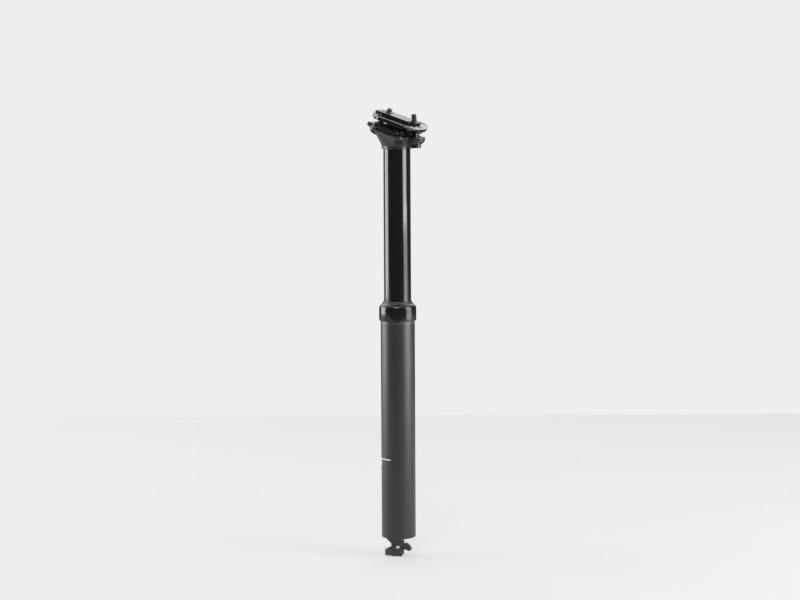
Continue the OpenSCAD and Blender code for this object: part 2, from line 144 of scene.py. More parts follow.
def finish_metal(name, dark, light, rough, grain, grain_depth, metallic=0.0, stretch=(1, 1, 1)):
    """Anodised or turned metal: two close tones, a roughness range and a fine grain."""
    m = Nodes(name)
    broad = m.noise(90, detail=3)
    fine = m.noise(grain, detail=3, stretch=stretch)
    m.link(m.mix_colour(m.ramp(broad, 0.35, 0.65, 0, 1), dark, light), m.shader.inputs["Base Color"])
    m.link(m.ramp(fine, 0.3, 0.7, rough[0], rough[1]), m.shader.inputs["Roughness"])
    m.bump(fine, grain_depth)
    m.shader.inputs["Metallic"].default_value = metallic
    return m.material


def tube_material():
    """Bead-blasted charcoal anodising, paler in the narrow band under the collar."""
    m = Nodes("outer_tube_finish")
    fine = m.noise(2600, detail=2)
    broad = m.noise(60, detail=4, stretch=(1, 1, 0.35))
    split = m.add("ShaderNodeSeparateXYZ")
    coords = m.add("ShaderNodeTexCoord")
    m.link(coords.outputs["Object"], split.inputs["Vector"])
    band_low, band_high = -0.0027, -0.0024
    band = m.ramp(split.outputs["Z"], band_low, band_high, 0.0, 1.0)
    tone = m.mix_colour(m.ramp(broad, 0.3, 0.7, 0, 1), (0.017, 0.0172, 0.0182), (0.021, 0.0212, 0.0222))
    mix = m.add("ShaderNodeMix", data_type="RGBA")
    m.link(band, mix.inputs["Factor"])
    m.link(tone, mix.inputs["A"])
    mix.inputs["B"].default_value = (0.055, 0.056, 0.059, 1)
    m.link(mix.outputs["Result"], m.shader.inputs["Base Color"])
    m.link(m.ramp(fine, 0.3, 0.7, 0.38, 0.45), m.shader.inputs["Roughness"])
    m.bump(fine, 0.02)
    return m.material


def simple(name, colour, roughness, metallic=0.0, grain=1500, depth=0.004):
    """A small part's finish, with light variation."""
    lift = tuple(min(1, c * 1.18) for c in colour)
    rough = (roughness * 0.85, min(1, roughness * 1.2))
    return finish_metal(name, colour, lift, rough, grain, depth, metallic)


MATERIALS = {
    "outer_tube": tube_material(),
    "stanchion": finish_metal("stanchion_finish", (0.0055, 0.0055, 0.006), (0.0065, 0.0065, 0.007),
                              (0.12, 0.14), 900, 0.0001, stretch=(1, 1, 0.05)),
    "collar": finish_metal("collar_finish", (0.006, 0.006, 0.0065), (0.008, 0.008, 0.0085),
                           (0.11, 0.15), 1800, 0.0003, stretch=(0.1, 0.1, 1)),
    "head": finish_metal("head_finish", (0.020, 0.020, 0.021), (0.026, 0.026, 0.027),
                         (0.30, 0.38), 1900, 0.006),
    "clamp": finish_metal("clamp_finish", (0.006, 0.006, 0.0065), (0.009, 0.009, 0.0095),
                          (0.11, 0.15), 1700, 0.0015),
    "black_steel": simple("black_oxide", (0.012, 0.0115, 0.012), 0.30),
    "actuator": finish_metal("actuator_finish", (0.026, 0.026, 0.027), (0.034, 0.034, 0.035),
                             (0.34, 0.44), 2000, 0.006),
    "steel": simple("bright_steel", (0.60, 0.60, 0.61), 0.22, metallic=1.0),
    "brass": simple("brass_finish", (0.55, 0.40, 0.17), 0.30, metallic=1.0),
    "bare_aluminium": simple("machined_aluminium", (0.62, 0.63, 0.65), 0.32, metallic=1.0),
    "bushing": simple("bushing_polymer", (0.20, 0.15, 0.07), 0.55),
    "seal": simple("nitrile_rubber", (0.010, 0.010, 0.0105), 0.48, grain=1200, depth=0.01),
    "screw": simple("domed_screw", (0.012, 0.0115, 0.012), 0.16),
    "print": simple("printed_mark", (0.62, 0.62, 0.60), 0.60),
}


# ---- mesh tools ----

def fill_mesh(mesh, points, faces):
    """Vertices and faces of a mesh; faces is an array of quads or a list of corner lists."""
    mesh.vertices.add(len(points))
    mesh.vertices.foreach_set("co", points.astype(np.float32).ravel())
    if isinstance(faces, np.ndarray):
        sizes, corners = np.full(len(faces), faces.shape[1]), faces.ravel()
    else:
        sizes, corners = np.array([len(f) for f in faces]), np.concatenate(faces)
    mesh.loops.add(len(corners))
    mesh.loops.foreach_set("vertex_index", corners.astype(np.int32))
    mesh.polygons.add(len(sizes))
    mesh.polygons.foreach_set("loop_start", (np.cumsum(sizes) - sizes).astype(np.int32))
    mesh.update(calc_edges=True)
    mesh.validate()


def make_piece(name, verts, faces, body, slot, replaced=(), matrix=None, smooth=True):
    """A mesh piece from points in millimetres, riding on a CAD body."""
    mesh = bpy.data.meshes.new(name)
    fill_mesh(mesh, np.asarray(verts, float) * MM, faces)
    if matrix is not None:
        place = matrix.copy()
        place.translation = place.translation * MM
        mesh.transform(place)
    mesh.polygons.foreach_set("use_smooth", [smooth] * len(mesh.polygons))
    piece = bpy.data.objects.new(name, mesh)
    bpy.context.scene.collection.objects.link(piece)
    mesh.materials.append(MATERIALS[slot])
    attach(piece, body)
    if replaced:
        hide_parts(*replaced)
    return piece


def rounded_profile(points, radius):
    """A closed profile with each corner rounded; radius is one value or one per corner."""
    out = []
    n = len(points)
    for i, p in enumerate(points):
        r = radius[i] if isinstance(radius, (list, tuple)) else radius
        a, b, c = Vector(points[i - 1]), Vector(p), Vector(points[(i + 1) % n])
        u, v = (a - b), (c - b)
        reach = min(u.length, v.length) * 0.49
        u.normalize()
        v.normalize()
        angle = u.angle(v)
        if r <= 0 or angle > 3.1:
            out.append(tuple(b))
            continue
        cut = min(reach, r / math.tan(angle / 2))
        r = cut * math.tan(angle / 2)
        centre = b + (u + v).normalized() * (r / math.sin(angle / 2))
        start, end = b + u * cut - centre, b + v * cut - centre
        turn = math.atan2(start.x * end.y - start.y * end.x, start.dot(end))
        steps = max(3, int(abs(turn) / 0.35))
        for k in range(steps + 1):
            w = turn * k / steps
            out.append((centre.x + start.x * math.cos(w) - start.y * math.sin(w),
                        centre.y + start.x * math.sin(w) + start.y * math.cos(w)))
    return out


def lathe(profile, segments=160):
    """Vertices and quads of a closed profile turned about Z."""
    n = len(profile)
    turn = np.arange(segments) * TWO_PI / segments
    rz = np.array(profile)
    verts = np.stack([
        np.outer(np.cos(turn), rz[:, 0]), np.outer(np.sin(turn), rz[:, 0]),
        np.broadcast_to(rz[:, 1], (segments, n))], axis=-1).reshape(-1, 3)
    i = np.arange(segments)[:, None]
    j = np.arange(n)[None, :]
    k, m = (i + 1) % segments, (j + 1) % n
    faces = np.stack([i * n + j, k * n + j, k * n + m, i * n + m], axis=-1).reshape(-1, 4)
    return verts, faces


def counter_clockwise(profile):
    area = sum(a[0] * b[1] - b[0] * a[1] for a, b in zip(profile, profile[1:] + profile[:1]))
    return profile if area > 0 else profile[::-1]


def turned(name, profile, radius, body, slot, replaced, segments=160, matrix=None):
    """A turned part from its corner points, each rounded."""
    shape = counter_clockwise(rounded_profile(profile, radius))
    verts, faces = lathe(shape, segments)
    piece = make_piece(name, verts, faces, body, slot, replaced, matrix)
    sharpen(piece)
    return piece


def sharpen(piece, degrees=32):
    """Splits the shading where faces meet at more than this angle."""
    piece.data.set_sharp_from_angle(angle=math.radians(degrees))


# ---- distance fields, in millimetres ----

def join(a, b, k=0.0):
    """Union with a fillet of about k."""
    if k == 0:
        return np.minimum(a, b)
    h = np.maximum(k - np.abs(a - b), 0) / k
    return np.minimum(a, b) - h * h * k / 4


def meet(a, b, k=0.0):
    """Intersection with a rounded edge of about k."""
    return -join(-a, -b, k)


def remove(a, b, k=0.0):
    """a without b, with a rounded edge."""
    return meet(a, -b, k)


def slab(v, low, high):
    return np.maximum(low - v, v - high)


def cylinder(a, b, r):
    return np.hypot(a, b) - r


def plate(x, y, half_x, half_y, r):
    """Rounded rectangle in two coordinates."""
    qx, qy = np.abs(x) - (half_x - r), np.abs(y) - (half_y - r)
    return np.hypot(np.maximum(qx, 0), np.maximum(qy, 0)) + np.minimum(np.maximum(qx, qy), 0) - r


def hexagon(a, b, across_flats):
    """Regular hexagon in two coordinates."""
    a, b = np.abs(a), np.abs(b)
    return np.maximum(a * math.cos(math.pi / 6) + b * 0.5, b) - across_flats / 2


CELL_CORNERS = [(i, j, k) for i in (0, 1) for j in (0, 1) for k in (0, 1)]


def grid_values(field, low, high, step):
    """The field on a grid of points whose outer layer counts as outside."""
    count = np.ceil((np.array(high, float) - low) / step).astype(int) + 1
    axes = [low[i] + step * np.arange(count[i]) for i in range(3)]
    grid = np.meshgrid(*axes, indexing="ij", sparse=True)
    d = np.array(np.broadcast_to(field(*grid), count), dtype=np.float64)
    for side in (0, -1):
        d[side], d[:, side], d[:, :, side] = step, step, step
    return d


def mixed_cells(inside):
    """The cells that the surface passes through, and a grid that holds each one's number."""
    shape = tuple(c - 1 for c in inside.shape)
    total = np.zeros(shape, dtype=np.int8)
    for i, j, k in CELL_CORNERS:
        total += inside[i:i + shape[0], j:j + shape[1], k:k + shape[2]]
    cells = np.argwhere((total > 0) & (total < len(CELL_CORNERS)))
    index = np.full(shape, -1, dtype=np.int64)
    index[tuple(cells.T)] = np.arange(len(cells))
    return cells, index


def crossing_means(d, cells):
    """Mean of the surface's crossings with each cell's edges, in cell units."""
    value = {c: d[tuple((cells + c).T)] for c in CELL_CORNERS}
    point, crossings = np.zeros((len(cells), 3)), np.zeros(len(cells))
    for a in CELL_CORNERS:
        for axis in range(3):
            if a[axis]:
                continue
            b = tuple(v + (n == axis) for n, v in enumerate(a))
            va, vb = value[a], value[b]
            hit = (va < 0) != (vb < 0)
            t = np.where(hit, va / np.where(hit, va - vb, 1), 0)
            where = np.tile(np.array(a, float), (len(cells), 1))
            where[:, axis] += t
            point += where * hit[:, None]
            crossings += hit
    return cells + point / crossings[:, None]


def net_faces(inside, index):
    """One quad round each grid edge that crosses the surface, facing outwards."""
    faces = []
    for axis in range(3):
        u, v = (axis + 1) % 3, (axis + 2) % 3
        ahead = [slice(None)] * 3
        ahead[axis] = slice(1, None)
        behind = [slice(None)] * 3
        behind[axis] = slice(None, -1)
        change = inside[tuple(behind)] != inside[tuple(ahead)]
        edges = np.argwhere(change)
        whole = (edges[:, u] > 0) & (edges[:, v] > 0)
        edges = edges[whole & (edges[:, u] < index.shape[u]) & (edges[:, v] < index.shape[v])]
        out = inside[tuple(edges.T)]
        quad = []
        for du, dv in ((1, 1), (0, 1), (0, 0), (1, 0)):
            cell = edges.copy()
            cell[:, u] -= du
            cell[:, v] -= dv
            quad.append(index[tuple(cell.T)])
        quad = np.stack(quad, axis=1)
        quad[~out] = quad[~out][:, ::-1]
        faces.append(quad)
    return np.concatenate(faces)


def settle(field, verts, step, rounds=4):
    """Moves points onto field = 0 along its slope, by at most half a cell each time."""
    tiny, least_slope = step * 0.02, 0.05
    for _ in range(rounds):
        here = field(*verts.T)
        slope = np.stack([(field(*(verts + tiny * np.eye(3)[i]).T) - here) / tiny for i in range(3)], axis=1)
        size = np.maximum((slope ** 2).sum(axis=1), least_slope)
        move = -(here / size)[:, None] * slope
        length = np.linalg.norm(move, axis=1, keepdims=True)
        verts = verts + move * np.minimum(1, 0.5 * step / np.maximum(length, 1e-9))
    return verts


def surface_net(field, low, high, step):
    """Closed quad mesh of field = 0 in a box: one vertex per mixed cell, then moved onto the surface."""
    low = np.array(low, float)
    d = grid_values(field, low, high, step)
    cells, index = mixed_cells(d < 0)
    verts = low + step * crossing_means(d, cells)
    return settle(field, verts, step), net_faces(d < 0, index)


def carved(name, field, low, high, step, body, slot, replaced, matrix=None):
    """A piece from a distance field."""
    verts, faces = surface_net(field, low, high, step)
    return make_piece(name, verts, faces, body, slot, replaced, matrix)


# ---- tubes, collar and seal ----

def tubes():
    turned("outer_tube_shell", [
        (TUBE_BORE_R, -TUBE_LEN), (TUBE_R, -TUBE_LEN), (TUBE_R, 0), (THREAD_R, 0),
        (THREAD_R, THREAD_H), (TUBE_BORE_R, THREAD_H)],
        [0.2, 0.6, 0.15, 0.1, 0.2, 0.2], "outer", "outer_tube", ["outer_tube"])
    turned("collar_shell", [
        (THREAD_R + 0.02, 0), (COLLAR_R, 0), (COLLAR_R, 13.1), (TUBE_R + 0.2, 14.3), (LIP_R + 0.1, COLLAR_H),
        (LIP_R + 0.03, THREAD_H + 0.05), (THREAD_R + 0.02, THREAD_H + 0.05)],
        [0.1, 0.5, 1.9, 0.35, 0.15, 0.1, 0.1], "outer", "collar", ["collar"])
    turned("wiper_lip", [
        (STANCHION_R + 0.05, 13), (LIP_R, 13), (LIP_R, 15.75), (13.75, 16.2), (13.45, 17.2), (12.95, 18),
        (STANCHION_R + 0.06, 18), (STANCHION_R + 0.4, 16)],
        [0.1, 0.1, 0.2, 0.25, 0.3, 0.2, 0.03, 0.4], "outer", "seal", ["wiper_seal"])
    turned("stanchion_shell", [
        (STANCHION_BORE_R, -OVERLAP), (STANCHION_R, -OVERLAP), (STANCHION_R, SEAM_Z),
        (STANCHION_BORE_R, SEAM_Z)],
        [0.3, 0.4, 0.12, 0.2], "sliding_post", "stanchion", ["stanchion"])


def ring_strip(r_out, thickness, z0, z1, a0, a1, segments):
    """A thin curved plate on a cylinder, from angle a0 to a1 in degrees."""
    turn = np.radians(np.linspace(a0, a1, segments + 1))
    ring = []
    for r, z in ((r_out, z0), (r_out + thickness, z0), (r_out + thickness, z1), (r_out, z1)):
        ring.append(np.stack([r * np.cos(turn), r * np.sin(turn), np.full_like(turn, z)], axis=1))
    verts = np.concatenate(ring)
    n = segments + 1
    faces = []
    for side in range(4):
        a, b = side * n, (side + 1) % 4 * n
        for i in range(segments):
            faces.append([a + i, a + i + 1, b + i + 1, b + i])
    faces.append([0, n, 2 * n, 3 * n])
    faces.append([3 * n + segments, 2 * n + segments, n + segments, segments])
    return verts, faces


def insertion_marks():
    """The minimum insertion line across the tube's rear half, and plain ticks below it."""
    line_z, line_w, tick_w, film = -128.5, 0.85, 0.45, 0.02
    first_tick, tick_step, tick_grow = 2.6, 1.5, 3
    marks = [("insertion_line", line_z, line_w, 90, 270, 90)]
    for i in range(3):
        z = line_z - first_tick - tick_step * i
        marks.append((f"insertion_tick_{i}", z, tick_w, 212 - tick_grow * i, 222 + tick_grow * i, 12))
    for name, z, w, a0, a1, segments in marks:
        verts, faces = ring_strip(TUBE_R + 0.005, film, z - w / 2, z + w / 2, a0, a1, segments)
        make_piece(name, verts, faces, "outer", "print", smooth=False)


# ---- head and clamp ----

def head_coordinates(x, z):
    """World x and z in millimetres to the clamp's frame."""
    up = z - HEAD_Z
    return x * math.cos(TILT) - up * math.sin(TILT), x * math.sin(TILT) + up * math.cos(TILT)


def rocker_coordinates(x, z):
    """Radius and angle about the rocker centre, from straight down, in the clamp's frame."""
    down = ROCKER_H - z
    return np.hypot(x, down), np.arctan2(x, down)


def head_body(x, y, z, hx, hz):
    """Neck whose circle grows into the platform's outline, with the rim on top."""
    rear, front, half_w, corner, body_rear = -18.4, 16.1, 22.4, 5.0, -14.5
    rim_top, rim_low = 1.5, -1.2
    neck_r, neck_z = 13.2, 160.4
    plate_z = HEAD_Z - math.tan(TILT) * x + rim_low / math.cos(TILT)
    s = np.clip((z - neck_z) / np.maximum(plate_z - neck_z, 1), 0, 1.2)
    r = neck_r + (corner - neck_r) * np.minimum(s, 1)
    mid = s * (body_rear + front) / 2 * math.cos(TILT)
    hull = plate(x - mid, y, s * ((front - body_rear) / 2 - corner) * math.cos(TILT) + r,
                 s * (half_w - corner) + r, r) * 0.8
    body = meet(meet(hull, hz - rim_low - 0.4, 0.3), neck_z - 2 - z, 0.2)
    neck = meet(cylinder(x, y, neck_r), slab(z, SEAM_Z, neck_z + 1), 0.35)
    body = join(body, neck, 2.4)
    body = meet(body, SEAM_Z - z, 0.3)
    rim = meet(plate(hx - (rear + front) / 2, y, (front - rear) / 2, half_w, corner),
               slab(hz, rim_low, rim_top), 0.7)
    return join(body, rim, 1.4)


def head_ears(hx, y, hz, radius, angle):
    """Ears that carry the bolts: a round nose in front, a squarer end behind."""
    nose_x, outer_angle, rear_angle, inner_angle = 20, 35.5, 30.4, 12
    front_top, rear_top = 4.6, 2.4
    nose = np.where(hx > nose_x, np.hypot(hx - nose_x, y) - EAR_W / 2, np.abs(y) - EAR_W / 2)
    tail = plate(hx + 14.6, y, 14.8, EAR_W / 2 - 0.1, 2.6)
    plan = np.where(hx > 0, nose, tail)
    span = np.maximum(angle - math.radians(outer_angle), -math.radians(rear_angle) - angle) * EAR_MEAN_R
    inner_r = np.where(hx > 0, 50.4, 48.6)
    ear = meet(meet(slab(radius, inner_r, EAR_R + 0.95), plan + 0.05, 1.3), span, 1.0)
    ear = meet(ear, (math.radians(inner_angle) - np.abs(angle)) * EAR_MEAN_R, 0.5)
    return meet(ear, hz - np.where(hx > 0, front_top, rear_top), 1.2)


def washer_pockets(hx, y, radius, angle):
    """Room under the ears for the washers and bolt heads."""
    pocket = meet(meet(EAR_R - radius, np.abs(y) - 5.2, 0.8), radius - 66, 0.2)
    inner = np.where(hx > 0, math.radians(15.2), math.radians(12.2))
    return meet(pocket, (inner - np.abs(angle)) * EAR_R, 0.5)


def bolt_slots(hx, y, radius, angle):
    """Slots with round ends through the ears, in which the bolts rock."""
    half_w = 2.85
    slot_in = np.where(hx > 0, math.radians(16.4), math.radians(14))
    slot_out = np.where(hx > 0, math.radians(28.9), math.radians(27.9))
    reach = np.abs(np.abs(angle) - (slot_in + slot_out) / 2) * EAR_MEAN_R \
        - (slot_out - slot_in) * EAR_MEAN_R / 2 + half_w
    return meet(np.hypot(np.maximum(reach, 0), y) - half_w, 47 - radius)


def head_field(x, y, z):
    hx, hz = head_coordinates(x, z)
    radius, angle = rocker_coordinates(hx, hz)
    body = join(head_body(x, y, z, hx, hz), head_ears(hx, y, hz, radius, angle), 1.4)
    trough = meet(radius - TROUGH_R, np.abs(y) - 19.4, 0.6)
    body = remove(body, trough, 0.7)
    body = remove(body, washer_pockets(hx, y, radius, angle), 0.5)
    body = remove(body, bolt_slots(hx, y, radius, angle), 0.6)
    # front corner notches
    notch = meet(meet(16.6 - hx, 15.8 - np.abs(y), 0.4), -0.3 - hz, 0.3)
    body = remove(body, notch, 0.35)
    # spigot glued into the stanchion, with a socket for the cartridge's stud
    spigot = meet(cylinder(x, y, STANCHION_BORE_R - 0.04), slab(z, SEAM_Z - 14, SEAM_Z + 2), 0.5)
    socket = meet(cylinder(x, y, 4.05), z - 152, 0.3)
    return remove(join(body, spigot), socket, 0.3)


def cradle_field(x, y, z):
    half_l, half_w, top, low = 13.5, 25.6, RAIL_H - 0.6, 2.75
    side = np.abs(y)
    wing = meet(plate(x, y, half_l, half_w, 2.0), slab(z, low, top), 0.9)
    radius, _ = rocker_coordinates(x, z)
    rocker = meet(meet(radius - TROUGH_R + 0.08, slab(z, -3, top), 0.5), plate(x, y, half_l, 19.2, 1.5), 0.6)
    body = join(wing, rocker, 1.0)
    body = remove(body, cylinder(side - RAIL_Y, z - RAIL_H, RAIL_R), 0.25)
    channel = meet(meet(side - 13.8, 4.6 - z, 1.5), np.abs(x) - 60)
    body = remove(body, channel, 0.8)
    # scallops between the rail seats' prongs
    scallop = meet(cylinder(np.abs(x) - 5.2, z - 8.4, 3.3), 24.3 - side, 0.4)
    return remove(body, scallop, 0.5)


def clamp_plan(x, side):
    """Distance to the upper clamp's outline: wide over the rails, a tail behind and a nose in front."""
    ear_rear, ear_front, ear_y = -12.0, 16.0, 25.4
    rear_slope = -0.796 * (x - ear_rear) + 0.605 * (side - ear_y)
    front_slope = 0.892 * (x - ear_front) + 0.452 * (side - ear_y)
    outline = meet(meet(side - ear_y, rear_slope, 3.0), front_slope, 3.0)
    return meet(outline, np.abs(x) - CLAMP_END, 2.2)


def clamp_plate(x, side, z, plan):
    """Lower plate, hooked over the rails: a raised rim round a sunk deck."""
    sunk = np.interp(side, (10.3, 15, 18, 22.2, 23.0), (11.0, 11.0, 11.9, 12.5, 13.05))
    end = np.clip((np.abs(x) - 13.8) / 3, 0, 1)
    deck = sunk + (12.9 - 0.35 * np.clip(x - 18, 0, 8) - sunk) * end * end * (3 - 2 * end)
    under = np.interp(side, (5.5, 9, 15, 18, RAIL_Y, 25.5), (8.2, 9.4, 9.4, 8.65, 8.65, 9.4))
    body = meet(z - deck, (under - z) * 0.9, 0.5)
    return meet(meet(body, plan, 0.4), (plan + (z - 12.5) * 0.8) * 0.78, 0.3)


def clamp_plateau(x, y, z):
    """Raised bar along the middle that carries the nuts."""
    plateau = meet(plate(x + 4, y, 18.1, 10.3, 1.6), slab(z, 9, CLAMP_TOP), 0.7)
    plateau = meet(plateau, np.abs(y) - 10.35 + 0.12 * (z - 12.9), 0.5)
    return meet(plateau, -x - CLAMP_END + 0.05, 0.5)


def clamp_tail(x, side, z, plan):
    """Tail with soft shoulders down to the outline."""
    shoulder = 0.55 * (side - 6.6) + 0.83 * (z - CLAMP_TOP + 0.1)
    tail = meet(meet(plan + 0.05, x + 14.7, 1.6), meet(z - CLAMP_TOP + 0.05, shoulder, 3.0), 1.0)
    return meet(tail, 8.85 - z, 0.4)


def clamp_skirt(x, side, z):
    """Skirt below the tail, round the rear bolt."""
    rear_face = -x - CLAMP_END + 0.05 + 0.5 * np.clip(10 - z, 0, 4)
    return meet(meet(side - 9.6, slab(z, 6.85, 13), 0.8), meet(rear_face, x + 13, 0.8), 1.2)


def clamp_field(x, y, z):
    side = np.abs(y)
    plan = clamp_plan(x, side)
    body = join(clamp_plate(x, side, z, plan), clamp_plateau(x, y, z), 0.7)
    body = join(join(body, clamp_tail(x, side, z, plan), 1.0), clamp_skirt(x, side, z), 0.8)
    keel = meet(plate(x - 2, y, 11, 9, 1.2), slab(z, 5.22, 9.6), 0.5)
    body = join(body, keel, 0.5)
    # bosses round the bolts
    for sign in (-1, 1):
        a, _ = bolt_coordinates(x * sign, z)
        boss = meet(cylinder(a, y, 4.85), slab(z, 7.35, 12.2), 0.8)
        body = join(body, boss, 1.6)
    body = remove(body, cylinder(side - RAIL_Y, z - RAIL_H, RAIL_R), 0.25)
    # bolt holes and nut seats
    for sign in (-1, 1):
        a, _ = bolt_coordinates(x * sign, z)
        body = remove(body, cylinder(a, y, 2.75), 0.3)
        seat = meet(cylinder(x * sign - NUT_X, z - CLAMP_TOP, NUT_R + 0.04), side - 6.2, 0.3)
        body = remove(body, seat, 0.3)
    return body


def bolt_coordinates(x, z):
    """Distance across and along the bolt axis on the +x side, from the rocker centre."""
    down = ROCKER_H - z
    c, s = math.cos(BOLT_ANGLE), math.sin(BOLT_ANGLE)
    return x * c - down * s, x * s + down * c


def nut_field(x, y, z):
    a, _ = bolt_coordinates(x, z)
    barrel = meet(cylinder(x - NUT_X, z - CLAMP_TOP, NUT_R), np.abs(y) - 6.1, 0.5)
    nut = meet(barrel, z - CLAMP_TOP - 0.3, 0.4)
    return remove(nut, cylinder(a, y, 2.52), 0.25)


def bolt_field(end):
    """One bolt in its own frame: z is the distance from the rocker centre, the head is at high z."""
    pitch, thread_len, thread_depth = 0.8, 15, 0.42

    def field(x, y, z):
        r = np.hypot(x, y)
        phase = z / pitch - np.arctan2(y, x) / TWO_PI
        tooth = np.abs(phase - np.floor(phase) - 0.5) * 2
        thread = np.clip((end + thread_len - z) / pitch, 0, 1)
        shank = meet(r - BOLT_R + 0.03 + thread_depth * tooth * thread, end - z, 0.2)
        shank = meet(shank, (r - BOLT_R + end + 0.6 - z) * 0.707, 0.1)
        shank = meet(shank, z - BOLT_SEAT - 1)
        top = BOLT_SEAT + BOLT_HEAD_H
        head = meet(r - BOLT_HEAD_R, slab(z, BOLT_SEAT, top), 0.5)
        head = meet(head, (r - BOLT_HEAD_R + z - top + 0.5) * 0.707, 0.2)
        socket = meet(hexagon(x, y, 3.0), top - 2 - z, 0.1)
        lead = (r - 1.9 - (z - top)) * 0.707
        return remove(remove(join(shank, head, 0.4), socket, 0.12), lead, 0.1)
    return field


def washer_field(x, y, z):
    a, b = bolt_coordinates(x, z)
    radius, _ = rocker_coordinates(x, z)
    disc = meet(cylinder(a, y, WASHER_R - 0.02), b - BOLT_SEAT + 0.02, 0.35)
    disc = meet(disc, EAR_R + 0.08 - radius, 0.2)
    return remove(disc, cylinder(a, y, 2.62), 0.2)


def head_parts():
    carved("saddle_head", head_field, (-29.6, -23.2, 143.2), (28.9, 23.2, 182), 0.34,
           "sliding_post", "head", ["head"])
    carved("rail_cradle", cradle_field, (-14.2, -26.2, -1.6), (14.2, 26.2, 7.6), 0.3,
           "saddle_clamp", "clamp", ["lower_cradle"], HEAD_FRAME)
    carved("top_clamp", clamp_field, (-24.5, -26.2, 6.4), (24.5, 26.2, 15.8), 0.27,
           "saddle_clamp", "clamp", ["upper_clamp"], HEAD_FRAME)
    for name, sign, end in (("front", 1, FRONT_BOLT_END), ("rear", -1, REAR_BOLT_END)):
        flip = HEAD_FRAME @ (Matrix.Identity(4) if sign > 0 else Matrix.Rotation(math.pi, 4, "Z"))
        carved(f"nut_{name}", nut_field, (9.4, -6.6, 10.6), (18.9, 6.6, 15.9), 0.18,
               "saddle_clamp", "black_steel", ["barrel_nuts"], flip)
        carved(f"washer_{name}", washer_field, (16, -5, -9), (28, 5, 3), 0.18,
               "saddle_clamp", "black_steel", ["bolt_washers"], flip)
        down = flip @ Matrix.Translation((0, 0, ROCKER_H)) @ Matrix.Rotation(math.pi - BOLT_ANGLE, 4, "Y")
        carved(f"bolt_{name}", bolt_field(end), (-4.8, -4.8, end - 0.5), (4.8, 4.8, BOLT_SEAT + 3.2), 0.15,
               "saddle_clamp", "black_steel", ["clamp_bolts"], down)


# ---- actuator ----

def side_plate_field(y_low):
    """One side plate: straight sides, round lower corners, chamfered hole rims."""
    def field(u, y, z):
        middle, half = (PLATE_LEFT + PLATE_RIGHT) / 2, (PLATE_RIGHT - PLATE_LEFT) / 2
        outline = plate(u - middle, z - FOOT_Z - 15, half - 0.02, 15, 1.2)
        body = meet(meet(outline, z + TUBE_LEN + 0.02), slab(y, y_low, y_low + PLATE_T), 0.45)
        body = remove(body, cylinder(u, z - PIVOT_Z, 1.54), 0.35)
        return remove(body, cylinder(u, z - SCREW_Z, SCREW_R + 0.06), 0.2)
    return field


def housing_stop_field(u, y, z):
    """Rounded toe with the housing's socket, the web between the plates and the slanted cable guide."""
    toe_r, web_h, depth = 3.38, 3.4, 3.6
    face = PLATE_GAP + PLATE_T - 0.52
    middle, half = (PLATE_LEFT + PLATE_RIGHT) / 2, (PLATE_RIGHT - PLATE_LEFT) / 2
    toe_len = PLATE_LEFT - 0.3 - STOP_U
    t = np.clip((u - STOP_U) / toe_len, 0, 1)
    across = np.maximum(np.abs(y) - t * (face - 0.6), 0)
    toe = np.hypot(u - STOP_U - t * toe_len, across) - toe_r + t * (toe_r - 0.6)
    toe = meet(toe, u - PLATE_LEFT + 0.02)
    toe = meet(toe, slab(z, FOOT_Z, FOOT_TOP), 0.9)
    web = meet(plate(u - middle, y, half + 1, PLATE_GAP - 0.02, 0.3), slab(z, FOOT_Z, FOOT_Z + web_h), 0.5)
    web = meet(web, u - PLATE_RIGHT + 0.65, 0.8)
    lean = math.radians(22)
    gu, gz = u - STOP_U - 1.72, z - FOOT_TOP + 1.5
    along, off = -gu * math.sin(lean) + gz * math.cos(lean), gu * math.cos(lean) + gz * math.sin(lean)
    guide = meet(cylinder(off, y, 1.98), slab(along, 0, 2.98), 0.35)
    body = join(join(toe, web, 0.5), guide, 0.5)
    body = remove(body, meet(cylinder(off, y, 1.25), 1.9 - along, 0.2), 0.25)
    body = remove(body, meet(cylinder(u - STOP_U, y, 2.1), z - FOOT_Z - depth, 0.2), 0.3)
    body = meet(body, FOOT_Z + 0.03 - z, 0.15)
    return remove(body, cylinder(u - STOP_U, y, 0.8), 0.15)


def polygon(u, z, points):
    """Signed distance to a polygon in the plates' plane."""
    best, crossings = None, 0
    for (au, az), (bu, bz) in zip(points, points[1:] + points[:1]):
        du, dz = bu - au, bz - az
        t = np.clip(((u - au) * du + (z - az) * dz) / (du * du + dz * dz), 0, 1)
        gap = np.hypot(u - au - t * du, z - az - t * dz)
        best = gap if best is None else np.minimum(best, gap)
        spans = (az > z) != (bz > z)
        side = (bu - au) * (z - az) - (u - au) * (bz - az)
        left = side > 0 if bz > az else side < 0
        crossings = crossings + (spans & left)
    return np.where(crossings % 2 == 1, -best, best)


